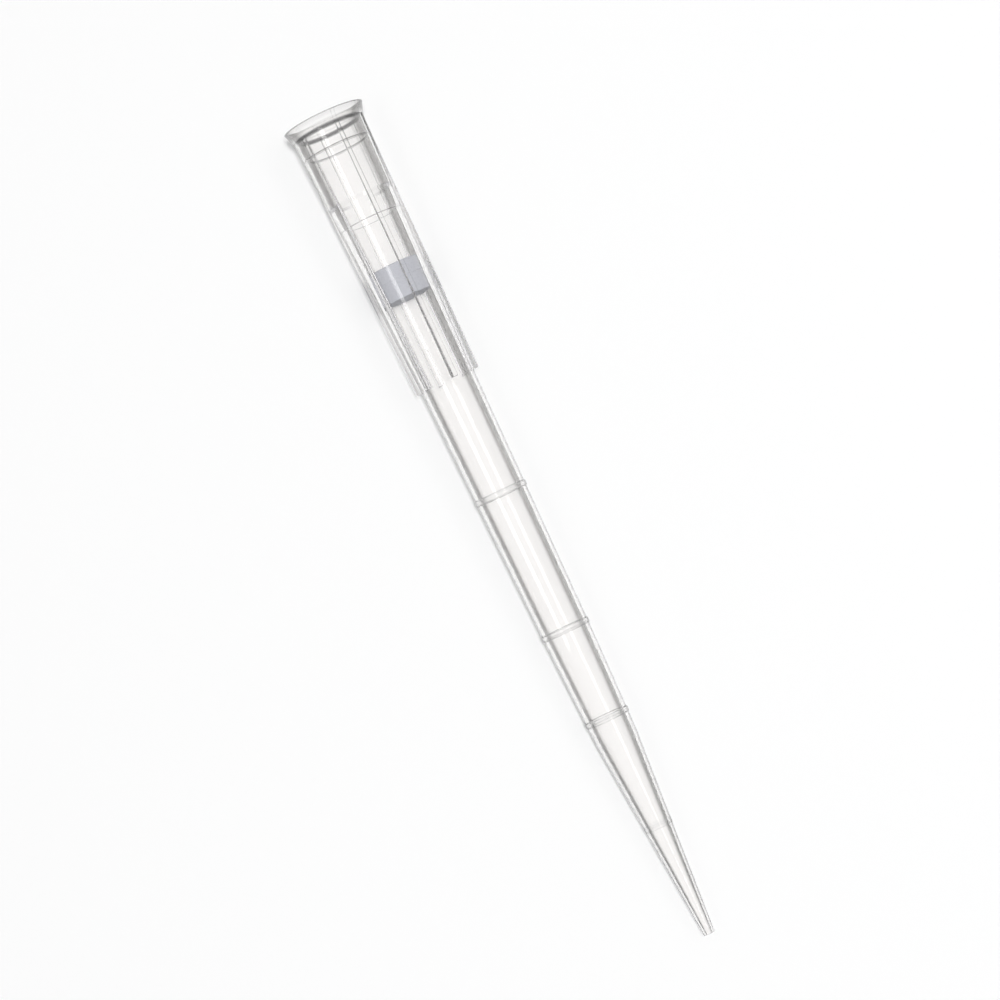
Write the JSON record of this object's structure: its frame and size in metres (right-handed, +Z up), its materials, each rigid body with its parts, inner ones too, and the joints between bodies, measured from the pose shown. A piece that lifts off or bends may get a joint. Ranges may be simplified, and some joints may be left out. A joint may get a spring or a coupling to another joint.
{
  "type": "pipette tip",
  "caption": "Long clear pipette tip with a flared rim, outside ribs, raised level rings, a fine orifice and a porous filter plug pressed into its bore.",
  "frame": {"origin": "on the surface that the tip lies on, under the centre of its bounding box", "axes": "+X along the tip from the rim towards the orifice, +Z up. The tip's own axis lies in the XZ plane and rises 1.70 degrees towards the rim, because the tip lies on its rim and on its third ring"},
  "size_m": [0.0942, 0.009, 0.0089],
  "materials": {
    "clear_polypropylene": "clear moulded, smooth inside and out, frosted on the level rings",
    "porous_polyethylene": "sintered, fine-grained and matt"
  },
  "bodies": {
    "root": {"tip_body": "clear_polypropylene", "filter_plug": "porous_polyethylene"}
  },
  "joints": []
}
